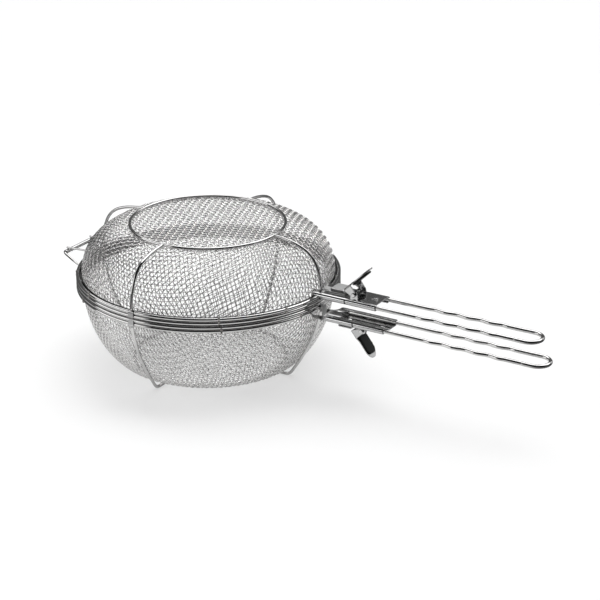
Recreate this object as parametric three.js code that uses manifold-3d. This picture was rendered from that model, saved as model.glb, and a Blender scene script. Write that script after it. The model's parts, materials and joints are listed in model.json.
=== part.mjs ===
// A two-part wire grill basket: an upper and a lower woven-mesh bowl, hinged at the back, each
// with a wire frame and a lift-off loop handle held by a sheet-metal clamp with a squeeze lever.
// Millimetres, +Z up, handles along +X. The origin is on the basket's axis, on the plane that the
// lower base ring stands on. Both halves are built above their joint plane; the lower is mirrored.

import * as THREE from "three";
import { mergeVertices } from "three/addons/utils/BufferGeometryUtils.js";
import Module from "manifold-3d";

// Rim: two stacked ring wires on each half.
const RIM_OUTER_R = 150;
const RIM_WIRE_R = 2;
const RIM_R = RIM_OUTER_R - RIM_WIRE_R;
const RIM_WIRE_Z = [2.5, 6.8];
const RIM_TOP_Z = RIM_WIRE_Z[1] + RIM_WIRE_R;

// Bowls: the mesh is a thin skin inside the rim, flat inside the base ring.
const BOWL_EDGE_R = 143.4;
const BOWL_SKIN = 1.4;
const BASE_RING_R = 87.5;
const BASE_WIRE_R = 1.8;
const UPPER_DEPTH = 64.5;
const LOWER_DEPTH = 98.5;
const RING_SIDES = 6;
const RING_SEGMENTS = 48;

// Ribs: four bent wires on each half, from the rim to the base ring.
const RIB_WIRE_R = 1.7;
const GAP = 0.3;
const CLIP_WIDTH = 7;
const CLIP_SKIN = 0.8;
const CLIP_FOOT_Z = 1;
const FOOT_Z = LOWER_DEPTH;
const SIDES = { handle: 0, right: 90, hinge: 180, left: -90 };

// Hinge: a wire bail on the lower rim, in a sheet hook with two legs on the upper rim.
const HINGE_X = -184;
const BAIL_HALF = 30;
const BAIL_WIRE_R = 1.4;
const BAIL_FOOT_Y = 45;
const BAIL_FOOT_Z = 5.8;
const BAIL_BEND = 3;
const BAIL_SPLAY = 0.4;
const SLEEVE_R = 2.8;
const SLEEVE_SKIN = 0.9;
const SLEEVE_HALF = 27.5;
const SLEEVE_START = 0.9;
const SLEEVE_SWEEP = 2 * Math.PI - 1.53;
const SLEEVE_STEPS = 14;
const LEG_WIRE_R = 1.25;
const LEG_Y = 22;
const LEG_TAIL = 1;
const LEG_HEAD = 5;
const LEG_RUN_IN = 8;
const LEG_SPLAY = 1.15;

// Handle loop: one wire with two parallel runs, a finger wave on each, and a round end.
const HANDLE_WIRE_R = 2.2;
const HANDLE_HALF = 14;
const HANDLE_Z = 12.4;
const HANDLE_START_X = 167;
const HANDLE_END_X = 412.3;
const HANDLE_PINCH = 0.3;
const HANDLE_STRAIGHT_X = [200, 230, 255];
const HANDLE_STRAIGHT_END_X = 385;
const WAVE_START_X = 274;
const WAVE_PITCH = 27;
const WAVE_COUNT = 3.5;
const WAVE_DEPTH = 0.95;
const LOWER_OUTSET = 10;

// Clamp: a channel that wraps both wires, with a fork over the rim on each side of the rib.
const PLATE_SKIN = 1;
const PLATE_TOP_Z = HANDLE_Z + HANDLE_WIRE_R + GAP + PLATE_SKIN;
const PLATE_FRONT_X = 144;
const PLATE_BACK_X = 225;
const FLANGE_Y = HANDLE_HALF + HANDLE_WIRE_R + GAP + PLATE_SKIN;
const LIP_START_X = 158;
const LIP_WIDTH = 5;
const FORK_HALF = 4.5;
const FORK_END_X = 162;
const HOOK_HALF_Y = [8, 13];
const HOOK_BOTTOM_Z = 6;
const HOOK_SKIN = 0.9;
const PRONG_TAPER = [12, 10];
const NOSE_HEIGHT = 1.6;
const NOSE_SLOPE = [5, 2];
const WEB_START_X = 152;
const WEB_Y = 14;
const NOTCH_X = [187, 189.2];
const NOTCH_LOW_Z = 5;
const NOTCH_DEPTH = 2;
const TAB_X = 218;
const TAB_SKIN = 0.9;
const TAB_HALF = 3;
const TAB_RISE = 3;
const WINDOW_LENGTH = 5;
const WINDOW_HALF = 2.2;

// Lever, its pin and its spring. The lever turns about the pivot and draws the jaw back.
const PIVOT_X = 195.5;
const PIVOT_Z = 20.2;
const PIN_R = 1.5;
const PIN_HALF = 12.6;
const BASE_EAR_Y = 9;
const BASE_EAR_HALF = [5, 3.6, 2.2];
const BASE_EAR_RISE = 3.4;
const BASE_EAR_SHOULDER = 1.2;
const LEVER_EAR_Y = 10.4;
const LEVER_BOSS_R = 3;
const EAR_SKIN = 1;
const LEVER_SKIN = 1.2;
const LEVER_HEIGHT = 11.2;
const LEVER_BACK = 6.1;
const LEVER_LENGTH = 38;
const LEVER_HALF = 8.5;
const NECK_LENGTH = 13;
const NECK_TAPER = 3;
const TIP_ROUNDNESS = 0.8;
const PAD_START = 10;
const PAD_END = 34;
const PAD_SKIN = 2.2;
const PAD_INSET = 0.8;
const UPPER_LEVER_ANGLE = 44.4;
const LOWER_LEVER_ANGLE = 52;
const COIL_R = 3;
const COIL_WIRE_R = 0.5;
const COIL_HALF = 5;
const COIL_TURNS = 4;
const COIL_STEPS = 8;
const COIL_LAST_STEPS = 3;
const SPRING_FOOT = 9;
const SPRING_FOOT_RISE = 0.2;

// Jaw: a tongue on the plate, with a lip down the front and a raised bridge at the back.
const JAW_SKIN = 1;
const JAW_LIP_X = 152.2;
const JAW_LIP_BOTTOM_Z = 4;
const JAW_LIP_SKIN = 1.2;
const JAW_HALF = 7.5;
const TONGUE_HALF = 3.8;
const TONGUE_OVERRUN = 3;
const RISER_SKIN = 1.1;
const BRIDGE_HALF = 8.5;
const BRIDGE_START_X = 164;
const BRIDGE_END_X = 181;
const BRIDGE_TOP_Z = 21.4;
const SLOPE_RUN = 2.6;
const SLOPE_DROP = 2;
const SLOPE_SKIN = 0.8;
const JAW_TRAVEL = 6;
const RIVET_X = 175;
const RIVET_R = 1.5;
const RIVET_HEAD_R = 2.7;
const RIVET_HEAD_HEIGHT = 1;
const RIVET_CROWN_R = 1.8;
const RIVET_TAIL_R = 2.6;
const RIVET_TAIL_HEIGHT = 0.8;

// How far a cutter reaches past what it cuts.
const OVERCUT = 1;

const wasm = await Module();
wasm.setup();

// Materials.
function metal(color, roughness) {
  return new THREE.MeshStandardMaterial({ color, roughness, metalness: 1 });
}
const MESH_STEEL = metal(0xb9bbbd, 0.32);
const WIRE_STEEL = metal(0xd2d4d6, 0.12);
const SHEET_STEEL = metal(0xc8cacc, 0.16);
const SPRING_STEEL = metal(0x8d9094, 0.25);
const RUBBER = new THREE.MeshStandardMaterial({ color: 0x17181a, roughness: 0.7, metalness: 0 });

// Booleans: a geometry becomes a solid, and a solid becomes a geometry again.
function solid(geometry) {
  const bare = geometry.index ? geometry.toNonIndexed() : geometry.clone();
  bare.deleteAttribute("normal");
  bare.deleteAttribute("uv");
  const merged = mergeVertices(bare, 1e-4);
  const vertProperties = merged.attributes.position.array;
  const triVerts = new Uint32Array(merged.index.array);
  return new wasm.Manifold(new wasm.Mesh({ numProp: 3, vertProperties, triVerts }));
}

function surface(shape) {
  const { vertProperties, triVerts } = shape.getMesh();
  const geometry = new THREE.BufferGeometry();
  geometry.setAttribute("position", new THREE.BufferAttribute(vertProperties, 3));
  geometry.setIndex(new THREE.BufferAttribute(triVerts, 1));
  geometry.computeVertexNormals();
  return geometry;
}

function join(geometries) {
  return surface(geometries.map(solid).reduce((a, b) => a.add(b)));
}

function cut(geometry, cutters) {
  return surface(cutters.reduce((whole, cutter) => whole.subtract(solid(cutter)), solid(geometry)));
}

// A block from its lowest to its highest corner.
function block(low, high) {
  const size = high.map((v, i) => v - low[i]);
  const geometry = new THREE.BoxGeometry(...size);
  return geometry.translate(...low.map((v, i) => v + size[i] / 2));
}

// A round bar along Y through (x, z).
function crossBar(x, z, radius, low, high, sides = 12) {
  const geometry = new THREE.CylinderGeometry(radius, radius, high - low, sides);
  return geometry.translate(0, (low + high) / 2, 0).translate(x, 0, z);
}

// A profile drawn in X and Z, given a thickness along Y.
function slab(points, low, high) {
  const shape = new THREE.Shape(points.map(([x, z]) => new THREE.Vector2(x, z)));
  const geometry = new THREE.ExtrudeGeometry(shape, { depth: high - low, bevelEnabled: false });
  return geometry.rotateX(Math.PI / 2).translate(0, high, 0);
}

// An outline drawn in X and Y, given a thickness along Z.
function sheet(points, low, high) {
  const shape = new THREE.Shape(points.map(([x, y]) => new THREE.Vector2(x, y)));
  const geometry = new THREE.ExtrudeGeometry(shape, { depth: high - low, bevelEnabled: false });
  return geometry.translate(0, 0, low);
}

// A wire with square ends, swept through the points.
function wire(points, radius, steps, sides = RING_SIDES) {
  const path = new THREE.CatmullRomCurve3(points, false, "centripetal");
  const circle = new THREE.Shape();
  for (let i = 0; i < sides; i += 1) {
    const angle = ((i + 0.5) * 2 * Math.PI) / sides;
    const [x, y] = [radius * Math.cos(angle), radius * Math.sin(angle)];
    if (i === 0) circle.moveTo(x, y);
    else circle.lineTo(x, y);
  }
  return new THREE.ExtrudeGeometry(circle, { steps, extrudePath: path, bevelEnabled: false });
}

function ring(radius, wireRadius, z) {
  const geometry = new THREE.TorusGeometry(radius, wireRadius, RING_SIDES, RING_SEGMENTS);
  return geometry.translate(0, 0, z);
}

// Radius and height to a point in the XZ plane, turned about the basket's axis.
function polar(r, z, degrees) {
  const angle = THREE.MathUtils.degToRad(degrees);
  return new THREE.Vector3(r * Math.cos(angle), r * Math.sin(angle), z);
}

function piece(group, name, geometry, material) {
  const mesh = new THREE.Mesh(geometry, material);
  mesh.name = name;
  group.add(mesh);
}

// Outer outlines of the two bowls, from the rim to the base ring, as [r, z].
const UPPER_WALL = [
  [BOWL_EDGE_R, 0.6], [BOWL_EDGE_R, 8], [140.4, 24], [136, 34], [129.5, 43.5],
  [119.5, 51.6], [107, 57.4], [BASE_RING_R + 3, UPPER_DEPTH - BASE_WIRE_R - GAP],
];
const LOWER_WALL = [
  [BOWL_EDGE_R, 0.6], [BOWL_EDGE_R, 8], [137.6, 32], [131.2, 53], [122.8, 71],
  [112.6, 84.4], [101.5, 92.4], [BASE_RING_R + 3, LOWER_DEPTH - BASE_WIRE_R - GAP],
];

// The rib's centre line on each half, from the rim clip to the base ring, as [r, z].
const RIB_START = [148.4, RIM_TOP_Z + CLIP_SKIN + 4 * GAP];
const UPPER_RIB = [
  RIB_START, [147.6, 20], [145.2, 31], [141, 42], [134, 51.5], [124, 58],
  [108, 62.2], [BASE_RING_R + BASE_WIRE_R + GAP + 0.1, UPPER_DEPTH],
];
const LOWER_RIB = [
  RIB_START, [145.6, 22], [138.9, 42], [131, 60], [123, 75], [114.5, 88], [110.8, 94],
  [107.2, 97.5], [102.5, FOOT_Z], [BASE_RING_R + BASE_WIRE_R + GAP + 0.1, FOOT_Z],
];

// A bowl is a skin of even thickness, closed over the base and open at the rim.
function bowlGeometry(wall) {
  const base = wall[wall.length - 1][1];
  const outer = wall.map(([r, z]) => new THREE.Vector2(r, z));
  const inner = wall.map(([r, z], i) => {
    const from = wall[Math.max(i - 1, 0)];
    const to = wall[Math.min(i + 1, wall.length - 1)];
    const length = Math.hypot(to[0] - from[0], to[1] - from[1]);
    const inward = [(from[1] - to[1]) / length, (to[0] - from[0]) / length];
    return new THREE.Vector2(r + BOWL_SKIN * inward[0], z + BOWL_SKIN * inward[1]);
  });
  inner[0].y = outer[0].y;
  inner[inner.length - 1].y = base - BOWL_SKIN;
  const top = new THREE.Vector2(0, base);
  const hollow = new THREE.Vector2(0, base - BOWL_SKIN);
  const profile = [hollow, ...inner.reverse(), ...outer, top];
  return new THREE.LatheGeometry(profile, RING_SEGMENTS).rotateX(Math.PI / 2);
}

// A saddle of strip over both rim wires, where a rib lands.
function rimClipGeometry() {
  const inside = RIM_R - RIM_WIRE_R - GAP;
  const outside = RIM_OUTER_R + GAP;
  const under = RIM_TOP_Z + GAP;
  const foot = CLIP_FOOT_Z;
  return slab(
    [
      [inside - CLIP_SKIN, foot], [inside, foot], [inside, under], [outside, under],
      [outside, foot], [outside + CLIP_SKIN, foot], [outside + CLIP_SKIN, under + CLIP_SKIN],
      [inside - CLIP_SKIN, under + CLIP_SKIN],
    ],
    -CLIP_WIDTH / 2,
    CLIP_WIDTH / 2,
  );
}

function addBasketHalf(group, half, wall, rib, depth, ribSteps) {
  piece(group, `${half}_mesh_bowl`, bowlGeometry(wall), MESH_STEEL);
  piece(group, `${half}_rim_wire_inner`, ring(RIM_R, RIM_WIRE_R, RIM_WIRE_Z[0]), WIRE_STEEL);
  piece(group, `${half}_rim_wire_outer`, ring(RIM_R, RIM_WIRE_R, RIM_WIRE_Z[1]), WIRE_STEEL);
  piece(group, `${half}_base_ring`, ring(BASE_RING_R, BASE_WIRE_R, depth), WIRE_STEEL);
  for (const [side, degrees] of Object.entries(SIDES)) {
    const points = rib.map(([r, z]) => polar(r, z, degrees));
    piece(group, `${half}_rib_${side}`, wire(points, RIB_WIRE_R, ribSteps), WIRE_STEEL);
    const clip = rimClipGeometry().rotateZ(THREE.MathUtils.degToRad(degrees));
    piece(group, `${half}_rim_clip_${side}`, clip, SHEET_STEEL);
  }
}

// The lower half of the hinge: a bar across the back with splayed legs to the rim.
function bailGeometry() {
  const footR = RIM_OUTER_R + GAP + BAIL_WIRE_R;
  const footX = -Math.sqrt(footR ** 2 - BAIL_FOOT_Y ** 2);
  const kneeY = (BAIL_FOOT_Y + BAIL_HALF) / 2 + BAIL_SPLAY;
  const half = [
    [footX, BAIL_FOOT_Y, BAIL_FOOT_Z],
    [(footX + HINGE_X) / 2, kneeY, BAIL_FOOT_Z / 2],
    [HINGE_X + BAIL_BEND, BAIL_HALF + BAIL_SPLAY, BAIL_SPLAY],
    [HINGE_X, BAIL_HALF - BAIL_BEND, 0],
    [HINGE_X, BAIL_HALF - 4 * BAIL_BEND, 0],
  ];
  const other = half.map(([x, y, z]) => [x, -y, z]).reverse();
  const points = [...half, ...other].map((p) => new THREE.Vector3(...p));
  return wire(points, BAIL_WIRE_R, 40);
}

// The upper half of the hinge: strip rolled round the bar, open towards the basket.
function sleeveGeometry() {
  const arc = (radius, k) => {
    const angle = SLEEVE_START + (k / SLEEVE_STEPS) * SLEEVE_SWEEP;
    return [HINGE_X + radius * Math.cos(angle), radius * Math.sin(angle)];
  };
  const steps = [...Array(SLEEVE_STEPS + 1).keys()];
  const outside = steps.map((k) => arc(SLEEVE_R, k));
  const inside = steps.map((k) => arc(SLEEVE_R - SLEEVE_SKIN, k)).reverse();
  return slab([...outside, ...inside], -SLEEVE_HALF, SLEEVE_HALF);
}

// A leg from the rolled hook up to the upper rim.
function sleeveLegGeometry(y) {
  const start = SLEEVE_R + GAP + LEG_WIRE_R;
  const rimY = y * LEG_SPLAY;
  const rimX = -Math.sqrt((RIM_OUTER_R + GAP + LEG_WIRE_R) ** 2 - rimY ** 2);
  const points = [
    new THREE.Vector3(HINGE_X - LEG_TAIL, y, start),
    new THREE.Vector3(HINGE_X + LEG_HEAD, y, start + 0.4),
    new THREE.Vector3(rimX - LEG_RUN_IN, (y + 3 * rimY) / 4, RIM_WIRE_Z[1]),
    new THREE.Vector3(rimX, rimY, RIM_WIRE_Z[1] + 0.8),
  ];
  return wire(points, LEG_WIRE_R, 12);
}

// The handle loop, as one wire from one free end round to the other.
function handleGeometry() {
  const waveEnd = WAVE_START_X + WAVE_PITCH * WAVE_COUNT;
  const side = (x) => {
    const inWave = x > WAVE_START_X && x < waveEnd;
    const phase = ((x - WAVE_START_X) / WAVE_PITCH) * 2 * Math.PI;
    return HANDLE_HALF - HANDLE_PINCH + (inWave ? WAVE_DEPTH * Math.sin(phase) : 0);
  };
  const run = [HANDLE_START_X, ...HANDLE_STRAIGHT_X];
  for (let x = WAVE_START_X; x < waveEnd + 1; x += WAVE_PITCH / 4) run.push(x);
  run.push(HANDLE_STRAIGHT_END_X);
  const bend = HANDLE_END_X - HANDLE_HALF;
  const out = run.map((x) => new THREE.Vector3(x, side(x), HANDLE_Z));
  const round = [90, 60, 30, 0, -30, -60, -90].map((degrees) => {
    const angle = THREE.MathUtils.degToRad(degrees);
    const [x, y] = [bend + HANDLE_HALF * Math.cos(angle), HANDLE_HALF * Math.sin(angle)];
    return new THREE.Vector3(x, y, HANDLE_Z);
  });
  const back = [...out].reverse().map((p) => new THREE.Vector3(p.x, -p.y, p.z));
  return wire([...out, ...round, ...back], HANDLE_WIRE_R, 90);
}

// One prong of the fork, with the tip turned down behind the top rim wire.
function prong(tipX, mirror) {
  const outline = [
    [FORK_END_X, FORK_HALF], [tipX + PRONG_TAPER[0], FORK_HALF], [tipX, HOOK_HALF_Y[0]],
    [tipX, HOOK_HALF_Y[1]], [tipX + PRONG_TAPER[1], FLANGE_Y - PLATE_SKIN],
    [FORK_END_X, FLANGE_Y - PLATE_SKIN],
  ];
  const points = mirror ? outline.map(([x, y]) => [x, -y]) : outline;
  const flat = sheet(points, PLATE_TOP_Z - PLATE_SKIN, PLATE_TOP_Z);
  const [low, high] = mirror ? HOOK_HALF_Y.map((y) => -y).reverse() : HOOK_HALF_Y;
  const hook = block([tipX, low, HOOK_BOTTOM_Z], [tipX + HOOK_SKIN, high, PLATE_TOP_Z - 0.2]);
  return [flat, hook];
}

// One side of the channel, drawn on the +Y side: flange, lip, web beside the fork, and pivot ear.
function clampSide() {
  const plateLow = PLATE_TOP_Z - PLATE_SKIN;
  const lipLow = HANDLE_Z - HANDLE_WIRE_R - GAP - PLATE_SKIN;
  const flange = [
    [PLATE_FRONT_X, PLATE_TOP_Z - NOSE_HEIGHT], [PLATE_FRONT_X, PLATE_TOP_Z],
    [PLATE_BACK_X, PLATE_TOP_Z], [PLATE_BACK_X, lipLow], [LIP_START_X, lipLow],
    [LIP_START_X - NOSE_SLOPE[0], lipLow + NOSE_SLOPE[1]],
  ];
  const earTop = PIVOT_Z + BASE_EAR_RISE;
  const [foot, shoulder, tip] = BASE_EAR_HALF;
  const ear = [
    [PIVOT_X - foot, plateLow], [PIVOT_X + foot, plateLow],
    [PIVOT_X + shoulder, earTop - BASE_EAR_SHOULDER], [PIVOT_X + tip, earTop],
    [PIVOT_X - tip, earTop], [PIVOT_X - shoulder, earTop - BASE_EAR_SHOULDER],
  ];
  return [
    slab(flange, FLANGE_Y - PLATE_SKIN, FLANGE_Y),
    block([LIP_START_X, FLANGE_Y - LIP_WIDTH, lipLow], [PLATE_BACK_X, FLANGE_Y, lipLow + PLATE_SKIN]),
    block([WEB_START_X, WEB_Y, plateLow], [FORK_END_X, FLANGE_Y - PLATE_SKIN / 2, PLATE_TOP_Z]),
    slab(ear, BASE_EAR_Y, BASE_EAR_Y + EAR_SKIN),
  ];
}

// The same solid on the -Y side.
function mirrorY(geometry) {
  return surface(solid(geometry).mirror([0, 1, 0]));
}

// The clamp's channel: plate, wrapped flanges, fork, pivot ears and a lanced tab.
function clampGeometry(outset) {
  const tipX = PLATE_FRONT_X - outset;
  const plateLow = PLATE_TOP_Z - PLATE_SKIN;
  const side = clampSide();
  const parts = [
    block([FORK_END_X - 0.5, -FLANGE_Y, plateLow], [PLATE_BACK_X, FLANGE_Y, PLATE_TOP_Z]),
    ...prong(tipX, false),
    ...prong(tipX, true),
    ...side,
    ...side.map(mirrorY),
    block([TAB_X, -TAB_HALF, plateLow], [TAB_X + TAB_SKIN, TAB_HALF, PLATE_TOP_Z + TAB_RISE]),
  ];
  const earReach = BASE_EAR_Y + EAR_SKIN + OVERCUT;
  const pinHole = crossBar(PIVOT_X, PIVOT_Z, PIN_R + GAP, -earReach, earReach);
  const window = block(
    [TAB_X - WINDOW_LENGTH, -WINDOW_HALF, plateLow - OVERCUT],
    [TAB_X, WINDOW_HALF, PLATE_TOP_Z + OVERCUT],
  );
  const rivetHole = new THREE.CylinderGeometry(RIVET_R + GAP, RIVET_R + GAP, 6 * PLATE_SKIN, 12)
    .rotateX(Math.PI / 2)
    .translate(RIVET_X, 0, PLATE_TOP_Z);
  const notch = block(
    [NOTCH_X[0], FLANGE_Y - NOTCH_DEPTH, NOTCH_LOW_Z],
    [NOTCH_X[1], FLANGE_Y + OVERCUT, plateLow],
  );
  return cut(join(parts), [pinHole, window, rivetHole, notch, mirrorY(notch)]);
}

// The sliding jaw: tongue, front lip, riser, raised bridge and its sloped end.
function jawGeometry(outset) {
  const low = PLATE_TOP_Z + GAP;
  const high = low + JAW_SKIN;
  const lipX = JAW_LIP_X - outset;
  const under = BRIDGE_TOP_Z - JAW_SKIN;
  const slopeEnd = [BRIDGE_END_X + SLOPE_RUN, under - SLOPE_DROP];
  const slope = [
    [BRIDGE_END_X - 0.5, BRIDGE_TOP_Z], [BRIDGE_END_X - 0.5, under], [BRIDGE_END_X, under],
    slopeEnd, [slopeEnd[0] + SLOPE_SKIN, slopeEnd[1] + SLOPE_SKIN],
    [BRIDGE_END_X + SLOPE_SKIN / 2, BRIDGE_TOP_Z],
  ];
  const backX = BRIDGE_START_X - TONGUE_OVERRUN;
  const endX = BRIDGE_END_X + TONGUE_OVERRUN;
  const parts = [
    block([lipX, -TONGUE_HALF, low], [BRIDGE_START_X, TONGUE_HALF, high]),
    block([lipX, -TONGUE_HALF, JAW_LIP_BOTTOM_Z], [lipX + JAW_LIP_SKIN, TONGUE_HALF, high]),
    block([backX, -JAW_HALF, low], [endX, JAW_HALF, high]),
    block([BRIDGE_START_X, -JAW_HALF, low], [BRIDGE_START_X + RISER_SKIN, JAW_HALF, BRIDGE_TOP_Z]),
    block([BRIDGE_START_X, -BRIDGE_HALF, under], [BRIDGE_END_X, BRIDGE_HALF, BRIDGE_TOP_Z]),
    slab(slope, -BRIDGE_HALF, BRIDGE_HALF),
  ];
  const slotHalf = RIVET_R + GAP;
  const slot = block(
    [RIVET_X - JAW_TRAVEL - slotHalf - GAP, -slotHalf, low - OVERCUT],
    [RIVET_X + slotHalf, slotHalf, high + OVERCUT],
  );
  return cut(join(parts), [slot]);
}

// The stud that guides the jaw: a shank with a head over the tongue and one under the plate.
function rivetGeometry() {
  const head = PLATE_TOP_Z + GAP + JAW_SKIN + GAP;
  const tail = PLATE_TOP_Z - PLATE_SKIN - GAP;
  const bottom = tail - RIVET_TAIL_HEIGHT;
  const top = head + RIVET_HEAD_HEIGHT;
  const profile = [
    [0, bottom], [RIVET_TAIL_R, bottom], [RIVET_TAIL_R, tail], [RIVET_R, tail], [RIVET_R, head],
    [RIVET_HEAD_R, head], [RIVET_HEAD_R, (head + top) / 2], [RIVET_CROWN_R, top], [0, top],
  ].map(([r, z]) => new THREE.Vector2(r, z));
  return new THREE.LatheGeometry(profile, 12).rotateX(Math.PI / 2).translate(RIVET_X, 0, 0);
}

// A strip's end from its straight part round to the other side, as [x, y].
function roundTip(startX, endX, half) {
  const reach = half * TIP_ROUNDNESS;
  const tip = [[startX, -half]];
  for (let k = 0; k <= 8; k += 1) {
    const angle = ((k / 8) * 2 - 1) * (Math.PI / 2);
    tip.push([endX - reach + reach * Math.cos(angle), half * Math.sin(angle)]);
  }
  tip.push([startX, half]);
  return tip;
}

// The lever, drawn with its pivot at the origin and its plate level above it.
function leverGeometry() {
  const start = -LEVER_BACK;
  const end = start + LEVER_LENGTH;
  const neck = start + NECK_LENGTH;
  const wide = LEVER_EAR_Y + EAR_SKIN;
  const outline = [
    [start, -wide], [neck, -wide], ...roundTip(neck + NECK_TAPER, end, LEVER_HALF),
    [neck, wide], [start, wide],
  ];
  const parts = [sheet(outline, LEVER_HEIGHT - LEVER_SKIN / 2, LEVER_HEIGHT + LEVER_SKIN / 2)];
  const ear = [[start, LEVER_HEIGHT], [neck, LEVER_HEIGHT]];
  for (let k = 0; k <= 6; k += 1) {
    const angle = (-k / 6) * Math.PI;
    ear.push([LEVER_BOSS_R * Math.cos(angle), LEVER_BOSS_R * Math.sin(angle)]);
  }
  for (const s of [-1, 1]) {
    const low = s > 0 ? LEVER_EAR_Y : -LEVER_EAR_Y - EAR_SKIN;
    parts.push(slab(ear, low, low + EAR_SKIN));
  }
  const reach = wide + OVERCUT;
  const hole = crossBar(0, 0, PIN_R + GAP, -reach, reach);
  return cut(join(parts), [hole]);
}

// The rubber pad on the lever's face towards the handle.
function padGeometry() {
  const start = PAD_START - LEVER_BACK;
  const end = PAD_END - LEVER_BACK;
  const half = LEVER_HALF - PAD_INSET;
  const top = LEVER_HEIGHT - LEVER_SKIN / 2 - GAP;
  return sheet(roundTip(start, end, half), top - PAD_SKIN, top);
}

function pinGeometry() {
  const bar = crossBar(PIVOT_X, PIVOT_Z, PIN_R, -PIN_HALF, PIN_HALF);
  const heads = [-1, 1].map((s) => {
    const inner = LEVER_EAR_Y + EAR_SKIN + GAP;
    const [low, high] = s > 0 ? [inner, PIN_HALF] : [-PIN_HALF, -inner];
    return crossBar(PIVOT_X, PIVOT_Z, PIN_R + 1, low, high);
  });
  return join([bar, ...heads]);
}

// The torsion spring: a coil round the pin, one leg on the plate and one under the lever.
function springGeometry(leverAngle) {
  const footZ = PIVOT_Z - COIL_R + SPRING_FOOT_RISE;
  const points = [new THREE.Vector3(PIVOT_X + SPRING_FOOT, -COIL_HALF, footZ)];
  const total = COIL_TURNS * COIL_STEPS + COIL_LAST_STEPS;
  for (let k = 0; k <= total; k += 1) {
    const angle = -Math.PI / 2 - (k / COIL_STEPS) * 2 * Math.PI;
    const y = -COIL_HALF + (k / total) * 2 * COIL_HALF;
    const [x, z] = [COIL_R * Math.cos(angle), COIL_R * Math.sin(angle)];
    points.push(new THREE.Vector3(PIVOT_X + x, y, PIVOT_Z + z));
  }
  const lean = THREE.MathUtils.degToRad(leverAngle);
  const reach = LEVER_HEIGHT - LEVER_SKIN - COIL_WIRE_R - GAP;
  const tip = new THREE.Vector3(-reach * Math.sin(lean), 0, reach * Math.cos(lean));
  points.push(new THREE.Vector3(PIVOT_X, COIL_HALF, PIVOT_Z).add(tip));
  return wire(points, COIL_WIRE_R, 56, 5);
}

function addHandle(group, half, outset, leverAngle) {
  const handle = new THREE.Group();
  handle.position.x = outset;
  group.add(handle);
  piece(handle, `${half}_handle_loop`, handleGeometry(), WIRE_STEEL);
  piece(handle, `${half}_clamp_channel`, clampGeometry(outset), SHEET_STEEL);
  piece(handle, `${half}_sliding_jaw`, jawGeometry(outset), SHEET_STEEL);
  piece(handle, `${half}_jaw_rivet`, rivetGeometry(), WIRE_STEEL);
  piece(handle, `${half}_lever_pin`, pinGeometry(), WIRE_STEEL);
  piece(handle, `${half}_lever_spring`, springGeometry(leverAngle), SPRING_STEEL);
  const lever = new THREE.Group();
  lever.position.set(PIVOT_X, 0, PIVOT_Z);
  lever.rotation.y = -THREE.MathUtils.degToRad(leverAngle);
  handle.add(lever);
  piece(lever, `${half}_squeeze_lever`, leverGeometry(), SHEET_STEEL);
  piece(lever, `${half}_lever_pad`, padGeometry(), RUBBER);
}

const basket = new THREE.Group();
const joint = new THREE.Group();
joint.position.z = LOWER_DEPTH + BASE_WIRE_R * Math.cos(Math.PI / RING_SIDES);
basket.add(joint);

const upper = new THREE.Group();
joint.add(upper);
addBasketHalf(upper, "upper", UPPER_WALL, UPPER_RIB, UPPER_DEPTH, 20);
addHandle(upper, "upper", 0, UPPER_LEVER_ANGLE);
piece(upper, "upper_hinge_sleeve", sleeveGeometry(), SHEET_STEEL);
piece(upper, "upper_hinge_leg_left", sleeveLegGeometry(-LEG_Y), WIRE_STEEL);
piece(upper, "upper_hinge_leg_right", sleeveLegGeometry(LEG_Y), WIRE_STEEL);

const lower = new THREE.Group();
lower.scale.z = -1;
joint.add(lower);
addBasketHalf(lower, "lower", LOWER_WALL, LOWER_RIB, LOWER_DEPTH, 26);
addHandle(lower, "lower", LOWER_OUTSET, LOWER_LEVER_ANGLE);
piece(lower, "lower_hinge_bail", bailGeometry(), WIRE_STEEL);

export default basket;
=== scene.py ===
import json
import math

import bpy
import numpy as np
from mathutils import Matrix, Vector
from mathutils.geometry import delaunay_2d_cdt


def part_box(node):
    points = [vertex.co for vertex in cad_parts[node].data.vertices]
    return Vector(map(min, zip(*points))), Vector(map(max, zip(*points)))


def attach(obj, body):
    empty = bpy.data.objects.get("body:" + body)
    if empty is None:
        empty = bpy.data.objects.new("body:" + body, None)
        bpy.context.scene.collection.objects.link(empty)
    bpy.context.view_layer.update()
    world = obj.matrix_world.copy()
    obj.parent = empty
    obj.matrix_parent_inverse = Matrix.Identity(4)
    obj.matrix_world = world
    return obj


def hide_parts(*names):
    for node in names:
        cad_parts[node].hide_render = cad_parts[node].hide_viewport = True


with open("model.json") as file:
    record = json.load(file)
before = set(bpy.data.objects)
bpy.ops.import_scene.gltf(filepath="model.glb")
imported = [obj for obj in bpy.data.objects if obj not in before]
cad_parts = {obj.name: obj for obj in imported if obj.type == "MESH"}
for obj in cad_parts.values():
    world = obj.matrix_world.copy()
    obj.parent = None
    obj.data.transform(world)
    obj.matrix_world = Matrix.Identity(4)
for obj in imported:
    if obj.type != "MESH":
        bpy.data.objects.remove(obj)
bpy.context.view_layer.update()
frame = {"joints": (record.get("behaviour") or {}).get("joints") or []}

# Looks for the grill basket. Lengths are millimetres until add_piece turns them into metres.
# Each half is drawn above its own joint plane; the lower half is the same thing turned over.

MM = 0.001
JOINTS = {joint["name"]: joint for joint in frame["joints"]}
JOINT_Z = JOINTS["basket_hinge"]["pos_m"][2] / MM
HINGE_X = JOINTS["basket_hinge"]["pos_m"][0] / MM


def box_mm(node):
    """Lowest and highest corner of a CAD node, in millimetres."""
    low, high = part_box(node)
    return np.array(low) / MM, np.array(high) / MM


def local_z(node):
    """Middle height of a CAD node above its half's joint plane."""
    low, high = box_mm(node)
    return abs((low[2] + high[2]) / 2 - JOINT_Z)


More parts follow.
